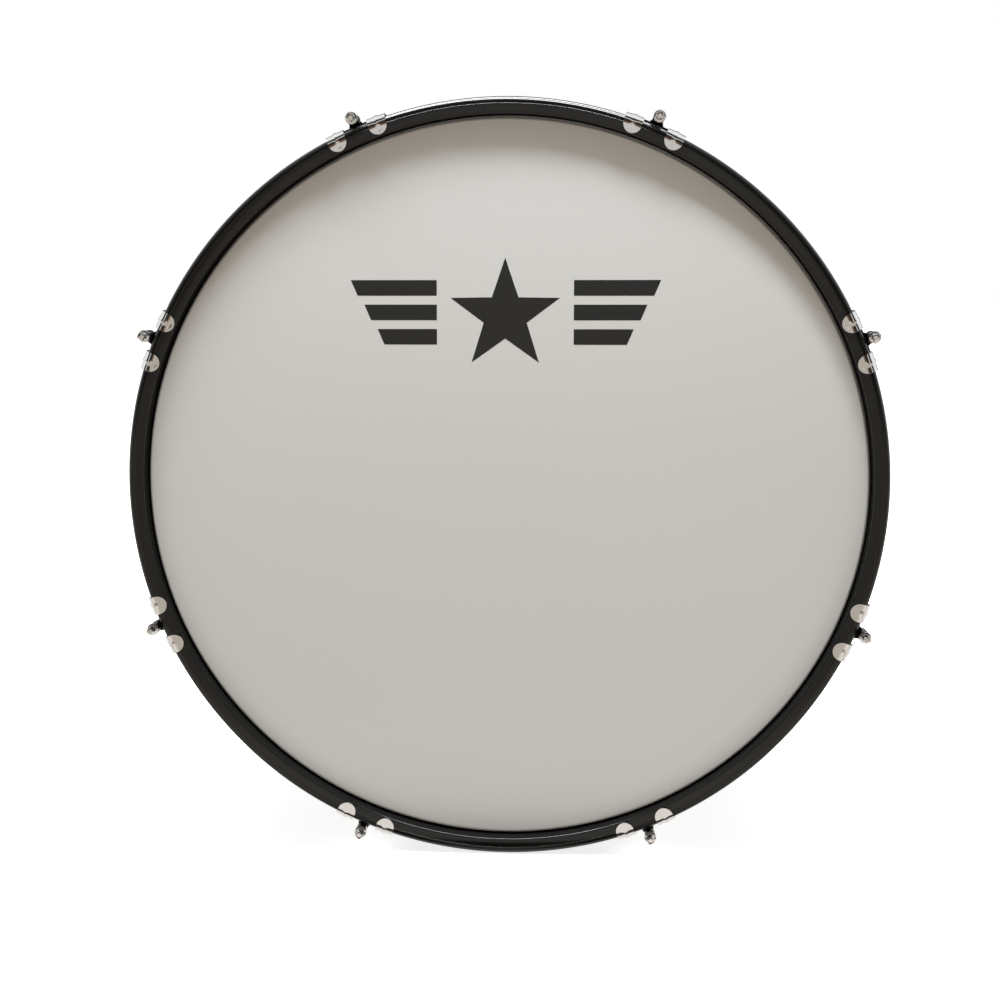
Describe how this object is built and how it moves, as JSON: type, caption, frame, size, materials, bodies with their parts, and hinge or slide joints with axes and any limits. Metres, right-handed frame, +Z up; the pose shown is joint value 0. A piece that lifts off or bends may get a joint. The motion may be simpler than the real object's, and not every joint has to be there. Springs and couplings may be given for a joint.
{
  "type": "bass drum",
  "caption": "Upright two-headed marching bass drum with white heads, gloss black hoops, chrome double claws, square-headed tension rods and tube lugs on single posts.",
  "frame": {"origin": "on the floor under the drum's middle", "axes": "+Z up, +Y along the drum's axis from the batter head towards the resonant head, +X to the right of a player facing the batter head"},
  "size_m": [0.696, 0.3456, 0.696],
  "materials": {
    "head_film": "smooth satin white polyester film",
    "hoop_lacquer": "gloss black lacquer on laminated wood",
    "shell_wrap": "gloss black covering on laminated wood",
    "chrome": "bright chrome plate",
    "aluminium": "plain drawn aluminium channel",
    "zinc_plate": "zinc plated steel"
  },
  "bodies": {
    "drum": {"shell": "shell_wrap", "vent_grommet": "chrome", "batter_head": "head_film", "batter_flesh_hoop": "aluminium", "batter_counterhoop": "hoop_lacquer", "resonant_head": "head_film", "resonant_flesh_hoop": "aluminium", "resonant_counterhoop": "hoop_lacquer", "lug_1": "chrome", "lug_screw_1": "zinc_plate", "lug_2": "chrome", "lug_screw_2": "zinc_plate", "lug_3": "chrome", "lug_screw_3": "zinc_plate", "lug_4": "chrome", "lug_screw_4": "zinc_plate", "lug_5": "chrome", "lug_screw_5": "zinc_plate", "lug_6": "chrome", "lug_screw_6": "zinc_plate", "lug_7": "chrome", "lug_screw_7": "zinc_plate", "lug_8": "chrome", "lug_screw_8": "zinc_plate"},
    "batter_claw_1": {"batter_claw_1": "chrome"},
    "batter_rod_1": {"batter_rod_1": "chrome"},
    "resonant_claw_1": {"resonant_claw_1": "chrome"},
    "resonant_rod_1": {"resonant_rod_1": "chrome"},
    "batter_claw_2": {"batter_claw_2": "chrome"},
    "batter_rod_2": {"batter_rod_2": "chrome"},
    "resonant_claw_2": {"resonant_claw_2": "chrome"},
    "resonant_rod_2": {"resonant_rod_2": "chrome"},
    "batter_claw_3": {"batter_claw_3": "chrome"},
    "batter_rod_3": {"batter_rod_3": "chrome"},
    "resonant_claw_3": {"resonant_claw_3": "chrome"},
    "resonant_rod_3": {"resonant_rod_3": "chrome"},
    "batter_claw_4": {"batter_claw_4": "chrome"},
    "batter_rod_4": {"batter_rod_4": "chrome"},
    "resonant_claw_4": {"resonant_claw_4": "chrome"},
    "resonant_rod_4": {"resonant_rod_4": "chrome"},
    "batter_claw_5": {"batter_claw_5": "chrome"},
    "batter_rod_5": {"batter_rod_5": "chrome"},
    "resonant_claw_5": {"resonant_claw_5": "chrome"},
    "resonant_rod_5": {"resonant_rod_5": "chrome"},
    "batter_claw_6": {"batter_claw_6": "chrome"},
    "batter_rod_6": {"batter_rod_6": "chrome"},
    "resonant_claw_6": {"resonant_claw_6": "chrome"},
    "resonant_rod_6": {"resonant_rod_6": "chrome"},
    "batter_claw_7": {"batter_claw_7": "chrome"},
    "batter_rod_7": {"batter_rod_7": "chrome"},
    "resonant_claw_7": {"resonant_claw_7": "chrome"},
    "resonant_rod_7": {"resonant_rod_7": "chrome"},
    "batter_claw_8": {"batter_claw_8": "chrome"},
    "batter_rod_8": {"batter_rod_8": "chrome"},
    "resonant_claw_8": {"resonant_claw_8": "chrome"},
    "resonant_rod_8": {"resonant_rod_8": "chrome"}
  },
  "joints": [
    {"name": "batter_claw_1_slide", "type": "slide", "parent": "drum", "child": "batter_claw_1", "axis": [0, -1, 0], "range_m": [0, 0.0105]},
    {"name": "batter_rod_1_turn", "type": "hinge", "parent": "batter_claw_1", "child": "batter_rod_1", "pos_m": [0.13643, -0.165, 0.67736], "axis": [0, -1, 0], "range_deg": [0, 3600]},
    {"name": "resonant_claw_1_slide", "type": "slide", "parent": "drum", "child": "resonant_claw_1", "axis": [0, 1, 0], "range_m": [0, 0.0105]},
    {"name": "resonant_rod_1_turn", "type": "hinge", "parent": "resonant_claw_1", "child": "resonant_rod_1", "pos_m": [0.13643, 0.165, 0.67736], "axis": [0, 1, 0], "range_deg": [0, 3600]},
    {"name": "batter_claw_2_slide", "type": "slide", "parent": "drum", "child": "batter_claw_2", "axis": [0, -1, 0], "range_m": [0, 0.0105]},
    {"name": "batter_rod_2_turn", "type": "hinge", "parent": "batter_claw_2", "child": "batter_rod_2", "pos_m": [0.32936, -0.165, 0.48443], "axis": [0, -1, 0], "range_deg": [0, 3600]},
    {"name": "resonant_claw_2_slide", "type": "slide", "parent": "drum", "child": "resonant_claw_2", "axis": [0, 1, 0], "range_m": [0, 0.0105]},
    {"name": "resonant_rod_2_turn", "type": "hinge", "parent": "resonant_claw_2", "child": "resonant_rod_2", "pos_m": [0.32936, 0.165, 0.48443], "axis": [0, 1, 0], "range_deg": [0, 3600]},
    {"name": "batter_claw_3_slide", "type": "slide", "parent": "drum", "child": "batter_claw_3", "axis": [0, -1, 0], "range_m": [0, 0.0105]},
    {"name": "batter_rod_3_turn", "type": "hinge", "parent": "batter_claw_3", "child": "batter_rod_3", "pos_m": [0.32936, -0.165, 0.21157], "axis": [0, -1, 0], "range_deg": [0, 3600]},
    {"name": "resonant_claw_3_slide", "type": "slide", "parent": "drum", "child": "resonant_claw_3", "axis": [0, 1, 0], "range_m": [0, 0.0105]},
    {"name": "resonant_rod_3_turn", "type": "hinge", "parent": "resonant_claw_3", "child": "resonant_rod_3", "pos_m": [0.32936, 0.165, 0.21157], "axis": [0, 1, 0], "range_deg": [0, 3600]},
    {"name": "batter_claw_4_slide", "type": "slide", "parent": "drum", "child": "batter_claw_4", "axis": [0, -1, 0], "range_m": [0, 0.0105]},
    {"name": "batter_rod_4_turn", "type": "hinge", "parent": "batter_claw_4", "child": "batter_rod_4", "pos_m": [0.13643, -0.165, 0.01864], "axis": [0, -1, 0], "range_deg": [0, 3600]},
    {"name": "resonant_claw_4_slide", "type": "slide", "parent": "drum", "child": "resonant_claw_4", "axis": [0, 1, 0], "range_m": [0, 0.0105]},
    {"name": "resonant_rod_4_turn", "type": "hinge", "parent": "resonant_claw_4", "child": "resonant_rod_4", "pos_m": [0.13643, 0.165, 0.01864], "axis": [0, 1, 0], "range_deg": [0, 3600]},
    {"name": "batter_claw_5_slide", "type": "slide", "parent": "drum", "child": "batter_claw_5", "axis": [0, -1, 0], "range_m": [0, 0.0105]},
    {"name": "batter_rod_5_turn", "type": "hinge", "parent": "batter_claw_5", "child": "batter_rod_5", "pos_m": [-0.13643, -0.165, 0.01864], "axis": [0, -1, 0], "range_deg": [0, 3600]},
    {"name": "resonant_claw_5_slide", "type": "slide", "parent": "drum", "child": "resonant_claw_5", "axis": [0, 1, 0], "range_m": [0, 0.0105]},
    {"name": "resonant_rod_5_turn", "type": "hinge", "parent": "resonant_claw_5", "child": "resonant_rod_5", "pos_m": [-0.13643, 0.165, 0.01864], "axis": [0, 1, 0], "range_deg": [0, 3600]},
    {"name": "batter_claw_6_slide", "type": "slide", "parent": "drum", "child": "batter_claw_6", "axis": [0, -1, 0], "range_m": [0, 0.0105]},
    {"name": "batter_rod_6_turn", "type": "hinge", "parent": "batter_claw_6", "child": "batter_rod_6", "pos_m": [-0.32936, -0.165, 0.21157], "axis": [0, -1, 0], "range_deg": [0, 3600]},
    {"name": "resonant_claw_6_slide", "type": "slide", "parent": "drum", "child": "resonant_claw_6", "axis": [0, 1, 0], "range_m": [0, 0.0105]},
    {"name": "resonant_rod_6_turn", "type": "hinge", "parent": "resonant_claw_6", "child": "resonant_rod_6", "pos_m": [-0.32936, 0.165, 0.21157], "axis": [0, 1, 0], "range_deg": [0, 3600]},
    {"name": "batter_claw_7_slide", "type": "slide", "parent": "drum", "child": "batter_claw_7", "axis": [0, -1, 0], "range_m": [0, 0.0105]},
    {"name": "batter_rod_7_turn", "type": "hinge", "parent": "batter_claw_7", "child": "batter_rod_7", "pos_m": [-0.32936, -0.165, 0.48443], "axis": [0, -1, 0], "range_deg": [0, 3600]},
    {"name": "resonant_claw_7_slide", "type": "slide", "parent": "drum", "child": "resonant_claw_7", "axis": [0, 1, 0], "range_m": [0, 0.0105]},
    {"name": "resonant_rod_7_turn", "type": "hinge", "parent": "resonant_claw_7", "child": "resonant_rod_7", "pos_m": [-0.32936, 0.165, 0.48443], "axis": [0, 1, 0], "range_deg": [0, 3600]},
    {"name": "batter_claw_8_slide", "type": "slide", "parent": "drum", "child": "batter_claw_8", "axis": [0, -1, 0], "range_m": [0, 0.0105]},
    {"name": "batter_rod_8_turn", "type": "hinge", "parent": "batter_claw_8", "child": "batter_rod_8", "pos_m": [-0.13643, -0.165, 0.67736], "axis": [0, -1, 0], "range_deg": [0, 3600]},
    {"name": "resonant_claw_8_slide", "type": "slide", "parent": "drum", "child": "resonant_claw_8", "axis": [0, 1, 0], "range_m": [0, 0.0105]},
    {"name": "resonant_rod_8_turn", "type": "hinge", "parent": "resonant_claw_8", "child": "resonant_rod_8", "pos_m": [-0.13643, 0.165, 0.67736], "axis": [0, 1, 0], "range_deg": [0, 3600]}
  ],
  "couplings": [
    {"joint": "batter_rod_1_turn", "follows": "batter_claw_1_slide", "rad_per_m": 5936.9},
    {"joint": "resonant_rod_1_turn", "follows": "resonant_claw_1_slide", "rad_per_m": 5936.9},
    {"joint": "batter_rod_2_turn", "follows": "batter_claw_2_slide", "rad_per_m": 5936.9},
    {"joint": "resonant_rod_2_turn", "follows": "resonant_claw_2_slide", "rad_per_m": 5936.9},
    {"joint": "batter_rod_3_turn", "follows": "batter_claw_3_slide", "rad_per_m": 5936.9},
    {"joint": "resonant_rod_3_turn", "follows": "resonant_claw_3_slide", "rad_per_m": 5936.9},
    {"joint": "batter_rod_4_turn", "follows": "batter_claw_4_slide", "rad_per_m": 5936.9},
    {"joint": "resonant_rod_4_turn", "follows": "resonant_claw_4_slide", "rad_per_m": 5936.9},
    {"joint": "batter_rod_5_turn", "follows": "batter_claw_5_slide", "rad_per_m": 5936.9},
    {"joint": "resonant_rod_5_turn", "follows": "resonant_claw_5_slide", "rad_per_m": 5936.9},
    {"joint": "batter_rod_6_turn", "follows": "batter_claw_6_slide", "rad_per_m": 5936.9},
    {"joint": "resonant_rod_6_turn", "follows": "resonant_claw_6_slide", "rad_per_m": 5936.9},
    {"joint": "batter_rod_7_turn", "follows": "batter_claw_7_slide", "rad_per_m": 5936.9},
    {"joint": "resonant_rod_7_turn", "follows": "resonant_claw_7_slide", "rad_per_m": 5936.9},
    {"joint": "batter_rod_8_turn", "follows": "batter_claw_8_slide", "rad_per_m": 5936.9},
    {"joint": "resonant_rod_8_turn", "follows": "resonant_claw_8_slide", "rad_per_m": 5936.9}
  ]
}
